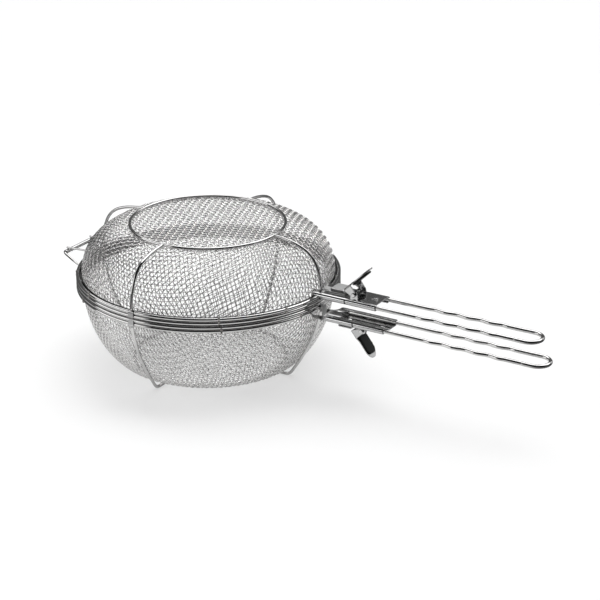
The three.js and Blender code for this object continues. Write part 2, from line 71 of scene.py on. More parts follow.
# Wire radii.
RIM_WIRE_R = 2.0
BASE_WIRE_R = 1.8
RIB_WIRE_R = 1.7
HANDLE_WIRE_R = 2.2
BAIL_WIRE_R = 1.4
LEG_WIRE_R = 1.25
COIL_WIRE_R = 0.5
MESH_WIRE_R = 0.5

# Rings, and the section of the mesh's folded hem, just inside the rim wires.
RIM_R = box_mm("upper_rim_wire_inner")[1][0] - RIM_WIRE_R
BASE_RING_R = box_mm("upper_base_ring")[1][0] - BASE_WIRE_R
HEM = [(143.9, 0.8), (144.5, 0.8), (144.5, 8.0), (143.9, 8.0), (143.9, 0.8)]

# The woven bowls: the net's radius at the joint plane, how softly the wall turns into the flat
# top, path points from one crossing to the next, a wire's sides, and how far it waves each way.
MESH_EDGE_R = 142.9
MESH_TOP_SOFTNESS = 1.6
MESH_SAMPLES = 3
MESH_SIDES = 6
WEAVE_HEIGHT = 0.58

# The clamp. X runs out along the handle, and Z is above the joint plane.
SHEET = 1.0
SLIDE_GAP = 0.3
BEND_R = 1.4
HANDLE_HALF = 14.0
HANDLE_WIRE_Z = 12.4
WRAP_R = 3.0
PLATE_Z = HANDLE_WIRE_Z + WRAP_R
PLATE_BACK_X = 225.0
FORK_TIP_X = 144.0
RIVET_X = 175.0
JAW_FRONT_X = 152.2
JAW_BACK_X = 184.0
PIVOT_X = 195.5
PIVOT_Z = 20.2

# Camera: degrees, metres from the middle of the joint plane, and its lens in millimetres.
CAMERA_AZIMUTH = 31.282
CAMERA_ELEVATION = 22.295
CAMERA_DISTANCE = 2.1138
CAMERA_SHIFT_RIGHT = 0.1037
CAMERA_SHIFT_UP = -0.0286
CAMERA_LENS = 111.47
SENSOR_WIDTH = 36

# The floor, in metres. The metal mirrors a round patch of it that lies towards the camera, fades
# out between two distances from its middle, and is darker under the basket. In reflections the
# patch is a painted pool of light, and the darkening under the basket is a painted shadow.
FLOOR_REACH = 9.0
FLOOR_GLOW = 0.42
PAPER_WHITE = (0.52, 0.54)
PATCH_SHIFT = 0.1
PATCH_FADE = (0.2, 0.46)
PATCH_SHARE = (0.95, 0.12)
# Painted shadow under the basket, seen only in reflections of the floor.
UNDER_SHADOW_FADE = (0.05, 0.16)
UNDER_SHADOW_SHARE = (0.25, 1.0)

# What the metal mirrors. Azimuth is 0 straight behind the set, 90 at the camera's right and 180
# behind the camera. All angles are degrees.
# Far walls: azimuth from, to, elevation from, to, softness, brightness.
WALLS = {
    "overhead": (-45, 88, 34, 100, 8, 2.7),
    "back_wall": (-70, 70, 5, 34, 5, 0.1),
}
# Near cards: azimuth, height of the middle, distance, width, height, brightness.
CARDS = {
    "left_card": (-104, 0.42, 1.1, 1.1, 0.62, 1.8),
    "right_card": (66, 0.4, 1.3, 0.6, 0.5, 0.7),
}
DARK_STUDIO = 0.02
TOP_LIGHT = 1.2
TOP_LIGHT_ANGLE = 70
TOP_LIGHT_LEAN = -6


# ---------- Materials

# Sockets of a Mix node that share a name: two colours and their result, and two numbers.
COLOUR_A, COLOUR_B, COLOUR_OUT = 6, 7, 2
NUMBER_A, NUMBER_B = 2, 3

SMUDGE_SCALE = 38.0
LINE_SCALE = 900.0
PEBBLE_SCALE = 1500.0
DUST_SCALE = 120.0
RELIEF_DEPTH = 0.0002


def node_maker(tree):
    """A function that adds a node and sets its inputs, for short material code."""

    def make(kind, inputs=None, **settings):
        node = tree.nodes.new(kind)
        for key, value in settings.items():
            setattr(node, key, value)
        for key, value in (inputs or {}).items():
            if isinstance(value, bpy.types.NodeSocket):
                tree.links.new(value, node.inputs[key])
            else:
                node.inputs[key].default_value = value
        return node

    return make


def use_new_nodes(block):
    """Clears a material's or world's nodes, and returns its node maker."""
    block.use_nodes = True
    block.node_tree.nodes.clear()
    return node_maker(block.node_tree)


def grey(value, warmth=0.0):
    """A nearly neutral colour, a little warmer or cooler."""
    return (value * (1 + warmth), value, value * (1 - warmth), 1)


def span(make, value, low, high):
    """Maps a 0 to 1 value to low to high."""
    node = make("ShaderNodeMapRange", {"Value": value, "To Min": low, "To Max": high})
    return node.outputs["Result"]


def smooth_step(make, value, low, high, first=0.0, last=1.0):
    """Turns softly from first to last as the value goes from low to high."""
    inputs = {"Value": value, "From Min": low, "From Max": high, "To Min": first, "To Max": last}
    node = make("ShaderNodeMapRange", inputs, interpolation_type="SMOOTHSTEP")
    return node.outputs["Result"]


def maths(make, operation, a, b=0.0):
    return make("ShaderNodeMath", {0: a, 1: b}, operation=operation).outputs[0]


def product(make, a, b):
    return maths(make, "MULTIPLY", a, b)


def noise(make, place, scale, detail):
    inputs = {"Vector": place, "Scale": scale, "Detail": detail}
    return make("ShaderNodeTexNoise", inputs).outputs["Fac"]


def tinted(make, share, dark, bright):
    inputs = {"Factor": share, COLOUR_A: dark, COLOUR_B: bright}
    return make("ShaderNodeMix", inputs, data_type="RGBA").outputs[COLOUR_OUT]


def relief(make, height, strength):
    inputs = {"Height": height, "Strength": strength, "Distance": RELIEF_DEPTH}
    return make("ShaderNodeBump", inputs).outputs["Normal"]


def metal_material(name, dark, bright, rough, stretch, bump):
    """Metal with soft smudges and fine lines, which stretch draws out along an axis."""
    material = bpy.data.materials.new(name)
    make = use_new_nodes(material)
    place = make("ShaderNodeTexCoord").outputs["Object"]
    drawn = make("ShaderNodeMapping", {"Vector": place, "Scale": stretch}).outputs["Vector"]
    smudge = noise(make, place, SMUDGE_SCALE, 4.0)
    lines = noise(make, drawn, LINE_SCALE, 2.0)
    surface = make(
        "ShaderNodeBsdfPrincipled",
        {
            "Base Color": tinted(make, smudge, dark, bright),
            "Metallic": 1.0,
            "Roughness": span(make, product(make, smudge, lines), *rough),
            "Normal": relief(make, lines, bump),
        },
    )
    make("ShaderNodeOutputMaterial", {"Surface": surface.outputs[0]})
    return material


def rubber_material():
    """Moulded black rubber: a fine pebble grain, and a little dust."""
    material = bpy.data.materials.new("black_rubber")
    make = use_new_nodes(material)
    place = make("ShaderNodeTexCoord").outputs["Object"]
    pebble = make("ShaderNodeTexVoronoi", {"Vector": place, "Scale": PEBBLE_SCALE})
    dust = noise(make, place, DUST_SCALE, 5.0)
    surface = make(
        "ShaderNodeBsdfPrincipled",
        {
            "Base Color": tinted(make, dust, grey(0.003), grey(0.014)),
            "Roughness": span(make, dust, 0.35, 0.65),
            "Specular IOR Level": 0.3,
            "Normal": relief(make, pebble.outputs["Distance"], 0.25),
        },
    )
    make("ShaderNodeOutputMaterial", {"Surface": surface.outputs[0]})
    return material


# Metals: darkest and brightest colour, roughness from and to, line stretch and bump.
EVEN, ALONG_X, ALONG_Y = (1, 1, 1), (0.05, 1, 1), (1, 0.05, 1)
METALS = {
    "polished_wire": (grey(0.52), grey(0.74, 0.01), (0.03, 0.12), EVEN, 0.04),
    "woven_mesh": (grey(0.66, 0.01), grey(0.98, 0.005), (0.03, 0.13), EVEN, 0.05),
    "sheet_steel": (grey(0.46), grey(0.64), (0.07, 0.24), ALONG_X, 0.1),
    "brushed_steel": (grey(0.5), grey(0.66), (0.3, 0.5), ALONG_Y, 0.1),
    # Near-black metal for the mesh hem: painted shade in the gaps between the rim wires.
    "painted_shade_hem": (grey(0.03), grey(0.12), (0.3, 0.5), EVEN, 0.1),
    "spring_steel": (grey(0.3), grey(0.5), (0.12, 0.3), EVEN, 0.06),
    "weld": (grey(0.1, 0.04), grey(0.5, 0.05), (0.2, 0.5), EVEN, 0.3),
}
MATERIALS = {name: metal_material(name, *look) for name, look in METALS.items()}
MATERIALS["black_rubber"] = rubber_material()


# ---------- Meshes


class Shape:
    """Points, faces and, where they are all known, normals of the parts of one piece."""

    def __init__(self):
        self.points = []
        self.normals = []
        self.faces = []
        self.count = 0

    def add(self, points, faces, normals=None):
        points = np.asarray(points, float).reshape(-1, 3)
        self.points.append(points)
        self.normals.append(normals)
        self.faces.extend([[i + self.count for i in face] for face in faces])
        self.count += len(points)
        return self

    def move(self, turn, shift=(0, 0, 0)):
        """Turns every part by a matrix for row vectors, then shifts it."""
        self.points = [points @ turn + shift for points in self.points]
        self.normals = [None if normals is None else normals @ turn for normals in self.normals]
        return self


def add_piece(half, name, shape, body, nodes, slot, material=None, sharp=35):
    """Makes one piece of a half. The half's own name is put before the piece, body and nodes.

    Pieces of the clamp are drawn for the upper handle, and the lower one sits further out.
    """
    own = half["name"]
    outset = 0.0 if body == "basket" else half["outset"]
    side = np.array([1, 1, half["sign"]])
    points = (np.concatenate(shape.points) + [outset, 0, 0]) * side + [0, 0, JOINT_Z]
    faces = shape.faces
    if half["sign"] < 0:
        faces = [face[::-1] for face in faces]
    mesh = bpy.data.meshes.new(f"{own}_{name}")
    mesh.from_pydata((points * MM).tolist(), [], faces)
    mesh.update()
    mesh.polygons.foreach_set("use_smooth", [True] * len(mesh.polygons))
    if all(normals is not None for normals in shape.normals):
        mesh.normals_split_custom_set_from_vertices(np.concatenate(shape.normals) * side)
    else:
        mesh.set_sharp_from_angle(angle=math.radians(sharp))
    mesh.materials.append(MATERIALS[material or slot])
    piece = bpy.data.objects.new(mesh.name, mesh)
    bpy.context.scene.collection.objects.link(piece)
    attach(piece, f"{own}_{body}")
    if nodes:
        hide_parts(*(f"{own}_{node}" for node in nodes))


def unit(vectors):
    return vectors / np.maximum(np.linalg.norm(vectors, axis=-1, keepdims=True), 1e-12)


def catmull_rom(points, places):
    """Where a Catmull-Rom curve through the points is, at fractional indices."""
    points = np.asarray(points, float)
    knots = np.concatenate([[2 * points[0] - points[1]], points, [2 * points[-1] - points[-2]]])
    i = np.clip(places.astype(int), 0, len(points) - 2)
    t = (places - i)[:, None]
    a, b, c, d = (knots[i + k] for k in range(4))
    square = 2 * a - 5 * b + 4 * c - d
    cube = 3 * b - a - 3 * c + d
    return b + 0.5 * ((c - a) * t + square * t**2 + cube * t**3)


def smooth_line(points, step):
    """A Catmull-Rom curve through the points, sampled about every step."""
    lengths = np.linalg.norm(np.diff(points, axis=0), axis=1)
    counts = np.maximum(2, (lengths / step).astype(int))
    places = [first + np.arange(count) / count for first, count in enumerate(counts)]
    return catmull_rom(points, np.concatenate([*places, [len(counts)]]))


def line_normals(tangents):
    """A normal at each point that turns as little as it can."""
    start = np.eye(3)[np.abs(tangents[0]).argmin()]
    normals = [unit(np.cross(tangents[0], start))]
    for tangent in tangents[1:]:
        before = normals[-1]
        normals.append(unit(before - tangent * (before @ tangent)))
    return np.array(normals)


def domed_ends(path, tangents, radius):
    """The path with three more points past each end, and the wire's radius at every point."""
    turns = np.radians([75, 50, 25])
    rise, ring = radius * np.sin(turns)[:, None], radius * np.cos(turns)
    first = path[0] - rise * tangents[0]
    last = path[-1] + rise * tangents[-1]
    radii = np.concatenate([ring, np.full(len(path), radius), ring[::-1]])
    return np.concatenate([first, path, last[::-1]]), radii


def tube(shape, path, radius, sides=14, closed=False, domed=True, normals=None):
    """A round wire along the path, with rounded or flat ends."""
    path = np.asarray(path, float)
    if closed:
        tangents = unit(np.roll(path, -1, 0) - np.roll(path, 1, 0))
    else:
        tangents = unit(np.gradient(path, axis=0))
    if normals is None:
        normals = line_normals(tangents)
    others = np.cross(tangents, normals)
    radii = np.full(len(path), radius)
    if domed and not closed:
        path, radii = domed_ends(path, tangents, radius)
        normals = np.pad(normals, ((3, 3), (0, 0)), mode="edge")
        others = np.pad(others, ((3, 3), (0, 0)), mode="edge")
    angles = np.arange(sides) * 2 * math.pi / sides
    c, s = np.cos(angles)[:, None], np.sin(angles)[:, None]
    ring = normals[:, None] * c + others[:, None] * s
    faces = tube_faces(len(path), sides, closed)
    if not closed:
        first = np.arange(sides)
        faces += [first[::-1].tolist(), (first + (len(path) - 1) * sides).tolist()]
    return shape.add(path[:, None] + ring * radii[:, None, None], faces)


def tube_faces(count, sides, closed=False):
    """Quads between count rings, which close on themselves or not."""
    rows = count if closed else count - 1
    i = np.repeat(np.arange(rows), sides)
    k = np.tile(np.arange(sides), rows)
    j = (i + 1) % count
    n = (k + 1) % sides
    return np.stack([i * sides + k, i * sides + n, j * sides + n, j * sides + k], 1).tolist()


def spun(r, z, t):
    """Points at radius r and height z, at angle t about the axis."""
    return np.stack([r * np.cos(t), r * np.sin(t), z], -1)


def circle(radius, z, count):
    angles = np.arange(count) * 2 * math.pi / count
    return spun(radius, 0 * angles + z, angles)


def about_axis(degrees):
    """A turn about the basket's axis, for row vectors."""
    c, s = math.cos(math.radians(degrees)), math.sin(math.radians(degrees))
    return np.array([[c, s, 0], [-s, c, 0], [0, 0, 1]])


def turned(points, degrees):
    return np.asarray(points, float) @ about_axis(degrees)


def lathe(shape, profile, centre=(0, 0, 0), axis="Z", count=24):
    """A round solid from [radius, height] points, from its axis to its axis or in a loop."""
    profile = np.asarray(profile, float)
    angles = np.arange(count) * 2 * math.pi / count
    r, h = profile[:, 0][:, None], profile[:, 1][:, None]
    across, up = r * np.cos(angles), r * np.sin(angles)
    along = h + 0 * across
    order = {"Z": (across, up, along), "Y": (up, along, across)}[axis]
    points = np.stack(order, -1).reshape(-1, 3) + centre
    return shape.add(points, tube_faces(len(profile), count))


def bead(shape, centre, size, sides=12):
    """A small rounded blob of weld."""
    rows = np.radians(np.linspace(-90, 90, 9))
    blob = lathe(Shape(), np.stack([np.cos(rows), np.sin(rows)], 1), count=sides)
    return shape.add(blob.points[0] * size + centre, blob.faces)


# ---------- Bent sheet: a flat blank with holes, folded along a profile and given its thickness


def fold_profile(*steps):
    """Mid-surface of a fold as (lengths, positions): steps are lengths or (radius, degrees)."""
    lengths, places = [0.0], [np.zeros(2)]
    heading = 0.0
    for step in steps:
        if np.isscalar(step):
            lengths.append(lengths[-1] + step)
            places.append(places[-1] + step * np.array([math.cos(heading), math.sin(heading)]))
            continue
        radius, degrees = step
        pieces = max(4, int(abs(degrees) / 9))
        turn = math.radians(degrees) / pieces
        chord = 2 * radius * math.sin(abs(turn) / 2)
        for _ in range(pieces):
            way = heading + turn / 2
            places.append(places[-1] + chord * np.array([math.cos(way), math.sin(way)]))
            lengths.append(lengths[-1] + radius * abs(turn))
            heading += turn
    return np.array(lengths), np.array(places)


def along_fold(fold, t):
    """Position and normal on the fold at lengths t."""
    lengths, places = fold
    x = np.interp(t, lengths, places[:, 0])
    y = np.interp(t, lengths, places[:, 1])
    step = 0.15
    ahead = np.clip(t + step, lengths[0], lengths[-1])
    behind = np.clip(t - step, lengths[0], lengths[-1])
    dx = np.interp(ahead, lengths, places[:, 0]) - np.interp(behind, lengths, places[:, 0])
    dy = np.interp(ahead, lengths, places[:, 1]) - np.interp(behind, lengths, places[:, 1])
    size = np.maximum(np.hypot(dx, dy), 1e-9)
    return x, y, -dy / size, dx / size


def inside(points, loop):
    """Which points lie inside a closed outline."""
    x, y = points[:, 0], points[:, 1]
    hit = np.zeros(len(points), bool)
    for (x1, y1), (x2, y2) in zip(loop, np.roll(loop, -1, 0)):
        crosses = (y1 > y) != (y2 > y)
        with np.errstate(divide="ignore", invalid="ignore"):
            at = x1 + (y - y1) * (x2 - x1) / (y2 - y1)
        hit ^= crosses & (x < at)
    return hit


def rounded(points, radius):
    """An outline with its corners rounded."""
    points = np.asarray(points, float)
    out = []
    for before, corner, after in zip(np.roll(points, 1, 0), points, np.roll(points, -1, 0)):
        sides = (before - corner, after - corner)
        reach = min(radius, *(np.linalg.norm(side) / 2.1 for side in sides))
        a, b = (corner + unit(side) * reach for side in sides)
        for t in np.linspace(0, 1, 5):
            out.append((1 - t) ** 2 * a + 2 * t * (1 - t) * corner + t**2 * b)
    return np.array(out)


def both_sides(right, radius):
    """A rounded outline from its right half, mirrored for the left."""
    return rounded(right + [(along, -across) for along, across in right[::-1]], radius)


def rectangle(low, high, radius=0.4):
    return rounded([low, (high[0], low[1]), high, (low[0], high[1])], radius)


def hole(x, y, radius, count=20):
    return circle(radius, 0, count)[:, :2] + [x, y]


def resample(loop, step):
    out = []
    for a, b in zip(loop, np.roll(loop, -1, 0)):
        count = max(1, int(np.linalg.norm(b - a) / step))
        out.extend(a + (b - a) * k / count for k in range(count))
    return np.array(out)


def blank(outline, holes, step, fine):
    """A flat sheet with holes, as points and triangles: fine is the step in its second direction."""
    loops = [resample(np.asarray(loop, float), fine) for loop in (outline, *holes)]
    points, edges = [], []
    for loop in loops:
        first = len(points)
        points.extend(loop.tolist())
        edges.extend((first + k, first + (k + 1) % len(loop)) for k in range(len(loop)))
    low, high = loops[0].min(0), loops[0].max(0)
    columns, rows = np.arange(low[0], high[0], step), np.arange(low[1], high[1], fine)
    grid = np.stack(np.meshgrid(columns, rows), -1).reshape(-1, 2)
    rim = np.array(points)
    clear = np.array([np.abs(rim - place).max(1).min() for place in grid]) > 0.45 * fine
    points.extend(grid[clear].tolist())
    made = delaunay_2d_cdt([Vector(p) for p in points], edges, [], 0, 1e-6)
    flat = np.array([tuple(v) for v in made[0]])
    triangles = np.array([t for t in made[2] if len(t) == 3])
    middle = flat[triangles].mean(1)
    keep = inside(middle, loops[0])
    for loop in loops[1:]:
        keep &= ~inside(middle, loop)
    used, renumbered = np.unique(triangles[keep], return_inverse=True)
    return flat[used], renumbered.reshape(-1, 3)


def sheet(shape, outline, holes, bend, thickness=SHEET, step=0.9, fine=None, edge=0.18):
    """A bent sheet. bend maps flat points to a middle surface and its normals.

    Its four layers are the top, two that stand out by the edge's bevel, and the bottom.
    """
    flat, triangles = blank(outline, holes, step, fine or step)
    middle, normal = bend(flat[:, 0], flat[:, 1])
    a, b, c = (middle[triangles[:, k]] for k in range(3))
    facing = (np.cross(b - a, c - a) * normal[triangles[:, 0]]).sum()
    if facing < 0:
        triangles = triangles[:, ::-1]
    rim = outer_edges(triangles)
    pulled, pulled_normal = bend(*(flat + edge_inset(flat, rim, edge)).T)
    half = thickness / 2
    layers = [
        pulled + pulled_normal * half,
        middle + normal * (half - edge),
        middle - normal * (half - edge),
        pulled - pulled_normal * half,
    ]
    outward = unit(middle - pulled)
    normals = [pulled_normal, outward, outward, -pulled_normal]
    count = len(flat)
    faces = triangles.tolist() + (triangles[:, ::-1] + 3 * count).tolist()
    for p, q in rim:
        for low in range(0, 3 * count, count):
            high = low + count
            faces.append([q + low, p + low, p + high, q + high])
    return add_used(shape, np.concatenate(layers), np.concatenate(normals), faces)


def add_used(shape, points, normals, faces):
    """Adds the faces and only the points that they use."""
    used, renumbered = np.unique(np.concatenate(faces), return_inverse=True)
    cuts = np.cumsum([len(face) for face in faces])[:-1]
    faces = [part.tolist() for part in np.split(renumbered, cuts)]
    return shape.add(points[used], faces, normals[used])


def outer_edges(triangles):
    """Directed edges that only one triangle has."""
    edges = np.concatenate([triangles[:, [0, 1]], triangles[:, [1, 2]], triangles[:, [2, 0]]])
    have = {tuple(edge) for edge in edges.tolist()}
    return [(p, q) for p, q in edges.tolist() if (q, p) not in have]


def edge_inset(flat, rim, distance):
    """How far each boundary point moves into the sheet."""
    move = np.zeros_like(flat)
    for p, q in rim:
        way = unit(flat[q] - flat[p])
        left = np.array([-way[1], way[0]])
        move[p] += left
        move[q] += left
    sizes = np.linalg.norm(move, axis=1)
    moved = sizes > 0
    move[moved] *= (distance / sizes[moved])[:, None]
    area = sum(flat[p][0] * flat[q][1] - flat[q][0] * flat[p][1] for p, q in rim)
    return move * math.copysign(1, area)


def upright(y):
    """A sheet that stands along X at a given y, drawn in X and Z."""

    def bend(x, z):
        middle = np.stack([x, 0 * x + y, z], 1)
        return middle, np.tile([0.0, 1.0, 0.0], (len(x), 1))

    return bend


def cross_wall(x):
    """A sheet that stands across X at a given x, drawn in Y and Z."""

    def bend(y, z):
        middle = np.stack([0 * y + x, y, z], 1)
        return middle, np.tile([1.0, 0.0, 0.0], (len(y), 1))

    return bend


def folded_across(fold, z):
    """A sheet that runs along X and folds towards both sides. The fold starts on the centre line."""

    def bend(x, t):
        y, drop, ny, nz = along_fold(fold, np.abs(t))
        side = np.where(t < 0, -1.0, 1.0)
        middle = np.stack([x, side * y, z + drop], 1)
        return middle, np.stack([0 * x, side * ny, nz], 1)

    return bend


def folded_along(fold, start_x, start_z, heading):
    """A sheet that folds as it runs along X."""
    c, s = math.cos(math.radians(heading)), math.sin(math.radians(heading))

    def bend(t, y):
        px, pz, nx, nz = along_fold(fold, t)
        middle = np.stack([start_x + c * px - s * pz, y, start_z + s * px + c * pz], 1)
        return middle, np.stack([c * nx - s * nz, 0 * t, s * nx + c * nz], 1)

    return bend


def mirrored_x(bend, start):
    """The same fold, running towards the basket from start."""

    def flipped(t, y):
        middle, normal = bend(t, y)
        return middle * [-1, 1, 1] + [start, 0, 0], normal * [-1, 1, 1]

    return flipped


# ---------- The woven bowls


def bowl_outline(half):
    """The bowl's section from the pole outwards, as lengths s, radii r and heights z.

    A superellipse with a flattened top, and a short skirt below the joint plane.
    """
    depth, power_z, power_r = half["bowl"]
    z = depth * (1 - np.linspace(0.03, 1, 900) ** 1.5)
    r = MESH_EDGE_R * np.clip(1 - (z / depth) ** power_z, 0, 1) ** (1 / power_r)
    z = soft_min(z, half["mesh_flat_z"], MESH_TOP_SOFTNESS)
    r = np.concatenate([[0], r, [MESH_EDGE_R] * 2])
    z = np.concatenate([[z[0]], z, [-8, -16]])
    s = np.concatenate([[0], np.cumsum(np.hypot(np.diff(r), np.diff(z)))])
    even = np.linspace(0, s[-1], 1600)
    return even, np.interp(even, s, r), np.interp(even, s, z)


def soft_min(values, limit, softness):
    """The smaller of the values and the limit, blended where they meet."""
    return limit - softness * np.logaddexp(0, (limit - values) / softness)


class Bowl:
    """A surface of revolution that can be asked for points by length s and angle t."""

    def __init__(self, half):
        self.s, self.r, self.z = bowl_outline(half)
        self.dr = np.gradient(self.r, self.s)
        self.dz = np.gradient(self.z, self.s)
        self.edge = np.interp(0, -self.z, self.s)

    def at(self, s, *rows):
        """Values of the section's rows at lengths s."""
        return [np.interp(s, self.s, row) for row in rows]

    def point(self, s, t):
        return spun(*self.at(s, self.r, self.z), t)

    def slope(self, s, t):
        return spun(*self.at(s, self.dr, self.dz), t)

    def around(self, s, t):
        r = self.at(s, self.r)[0]
        return spun(r, 0 * r, t + math.pi / 2)

    def normal(self, s, t):
        dr, dz = self.at(s, self.dr, self.dz)
        return unit(spun(-dz, dr, t))

    def nearest(self, points):
        """Lengths s of the section's points that are nearest to the given points."""
        r = np.hypot(points[:, 0], points[:, 1])
        gap = (r[:, None] - self.r) ** 2 + (points[:, 2][:, None] - self.z) ** 2
        return self.s[gap.argmin(1)]


def cloth_net(bowl, pitch):
    """One quarter of a square net laid on the bowl, as crossings and their lengths s."""
    count = int(bowl.s[-1] / pitch) + 2
    s = np.full((count, count), np.nan)
    t = np.full((count, count), np.nan)
    steps = np.arange(count) * pitch
    s[:, 0], t[:, 0] = steps, 0
    s[0, :], t[0, :] = steps, math.pi / 2
    s[steps > bowl.s[-1], 0] = np.nan
    s[0, steps > bowl.s[-1]] = np.nan
    points = bowl.point(s, t)
    for diagonal in range(2, 2 * count - 1):
        i = np.arange(max(1, diagonal - count + 1), min(count, diagonal))
        j = diagonal - i
        a, b = points[i - 1, j], points[i, j - 1]
        guess = a + b - points[i - 1, j - 1]
        known = ~np.isnan(guess).any(1)
        if not known.any():
            break
        i, j = i[known], j[known]
        s[i, j], t[i, j] = meet(bowl, pitch, a[known], b[known], guess[known])
        points[i, j] = bowl.point(s[i, j], t[i, j])
    return points, s


def meet(bowl, pitch, a, b, guess):
    """Where points one pitch from both a and b lie on the bowl, found by Newton's method."""
    s = bowl.nearest(guess)
    t = np.arctan2(guess[:, 1], guess[:, 0])
    for _ in range(12):
        x = bowl.point(s, t)
        along, around = bowl.slope(s, t), bowl.around(s, t)
        miss_a = ((x - a) ** 2).sum(1) - pitch**2
        miss_b = ((x - b) ** 2).sum(1) - pitch**2
        aa, ab = 2 * ((x - a) * along).sum(1), 2 * ((x - a) * around).sum(1)
        ba, bb = 2 * ((x - b) * along).sum(1), 2 * ((x - b) * around).sum(1)
        whole = aa * bb - ab * ba
        whole = np.where(np.abs(whole) < 1e-6, 1e-6, whole)
        s = s + np.clip((-miss_a * bb + miss_b * ab) / whole, -2, 2)
        t = t + np.clip((-aa * miss_b + ba * miss_a) / whole, -0.1, 0.1)
    x = bowl.point(s, t)
    off = sum(np.abs(np.linalg.norm(x - end, axis=1) - pitch) for end in (a, b))
    bad = (off > 0.05) | (s > bowl.s[-1] - 1)
    return np.where(bad, np.nan, s), t


def wire_through(points, s, bowl, phase):
    """One mesh wire through its crossings, waving over and under, as (path, normals)."""
    known = np.flatnonzero(~np.isnan(s))
    if len(known) < 3:
        return None
    fine = np.arange(known[0], known[-1] + 1e-6, 1 / MESH_SAMPLES)
    path = catmull_rom(points[known], fine - known[0])
    around = np.arctan2(path[:, 1], path[:, 0])
    length = bowl.nearest(path)
    normals = bowl.normal(length, around)
    wave = WEAVE_HEIGHT * np.cos(math.pi * (fine + phase))
    keep = length < bowl.edge
    if keep.sum() < 3:
        return None
    return (path + normals * wave[:, None])[keep], normals[keep]


def woven_family(bowl, net, across, turn):
    """All the wires of one direction of the net, whose one quarter is mirrored into four."""
    points, s = net
    if across:
        points, s = points.transpose(1, 0, 2), s.T
    last = len(s) - 1
    steps = np.arange(-last, last + 1)
    along, over = (1, 0) if across else (0, 1)
    shape = Shape()
    for j in steps:
        row = points[np.abs(steps), abs(j)].copy()
        row[:, along] *= np.sign(steps)
        row[:, over] *= 1 if j >= 0 else -1
        made = wire_through(row, s[np.abs(steps), abs(j)], bowl, j + int(across) - last)
        if made is None:
            continue
        path, normals = made
        way = unit(np.gradient(path, axis=0))
        upward = turned(unit(np.cross(np.cross(way, normals), way)), turn)
        path = turned(path, turn)
        tube(shape, path, MESH_WIRE_R, MESH_SIDES, domed=False, normals=upward)
    return shape


def add_bowl(half):
    """Two families of crimped wires that pass over and under each other."""
    bowl = Bowl(half)
    net = cloth_net(bowl, half["mesh_pitch"])
    for family, across in (("warp", False), ("weft", True)):
        shape = woven_family(bowl, net, across, half["mesh_turn"])
        name = f"mesh_{family}"
        add_piece(half, name, shape, "basket", ["mesh_bowl"], "woven_mesh", sharp=80)


# ---------- Rims, ribs and clips


def add_rims(half):
    """Two stacked rim wires, the base ring, and the hem of the mesh, which is coloured near black as
    painted shade between the rim wires.
    """
    for node in ("rim_wire_inner", "rim_wire_outer"):
        path = circle(RIM_R, local_z(f"{half['name']}_{node}"), 300)
        shape = tube(Shape(), path, RIM_WIRE_R, 20, closed=True)
        add_piece(half, node, shape, "basket", [node], "polished_wire")
    ring = tube(Shape(), circle(BASE_RING_R, half["depth"], 220), BASE_WIRE_R, 18, closed=True)
    add_piece(half, "base_ring_wire", ring, "basket", ["base_ring"], "polished_wire")
    hem = lathe(Shape(), HEM, count=240)
    # The hem takes the near-black metal: painted shade between the rim wires.
    add_piece(half, "rim_band", hem, "basket", [], "woven_mesh", "painted_shade_hem")


def add_rim_welds(half):
    """Spot welds that tie the two rim wires and the ribs, and the butt joint of each rim wire."""
    low = local_z(f"{half['name']}_rim_wire_inner")
    high = local_z(f"{half['name']}_rim_wire_outer")
    spot_r = RIM_R + 0.55 * RIM_WIRE_R
    shape = Shape()
    for degrees in half["weld_at"]:
        for z in ((low + high) / 2, high + 0.6 * RIM_WIRE_R):
            bead(shape, turned([spot_r, 0, z], degrees), (1.3, 1.6, 1.9))
    for z in (low, high):
        joint = tube(Shape(), [[RIM_R, -0.5, z], [RIM_R, 0.5, z]], RIM_WIRE_R + 0.06, 18)
        shape.add(turned(joint.points[0], half["weld_at"][0]), joint.faces)
    for degrees in range(0, 360, 90):
        bead(shape, turned([BASE_RING_R + 1.9, 0, half["depth"]], degrees), (1.7, 1.7, 1.2))
    add_piece(half, "rim_welds", shape, "basket", [], "polished_wire", "weld")


def add_ribs(half):
    """Four bent wires from the rims to the base ring, and the clip that holds each one."""
    path = smooth_line([(r, 0, z) for r, z in half["rib"]], 1.2)
    for side, degrees in (("handle", 0), ("right", 90), ("hinge", 180), ("left", -90)):
        shape = tube(Shape(), turned(path, degrees), RIB_WIRE_R, 16)
        add_piece(half, f"rib_wire_{side}", shape, "basket", [f"rib_{side}"], "polished_wire")
        add_rim_clip(half, side, degrees)


def add_rim_clip(half, side, degrees):
    """A strip bent over both rim wires."""
    reach = 2 * RIM_WIRE_R + 1.0
    lift, wide, foot_z = 7.6 - BEND_R, 3.5, 1.3
    fold = fold_profile(lift, (BEND_R, -90), reach - 2 * BEND_R, (BEND_R, -90), lift)
    outline = rectangle((0, -wide), (fold[0][-1], wide), 0.8)
    bend = folded_along(fold, RIM_R - reach / 2, foot_z, 90)
    shape = sheet(Shape(), outline, [], bend, 0.8).move(about_axis(degrees))
    name, node = f"rim_strap_{side}", f"rim_clip_{side}"
    add_piece(half, name, shape, "basket", [node], "sheet_steel")


# ---------- The hinge at the back


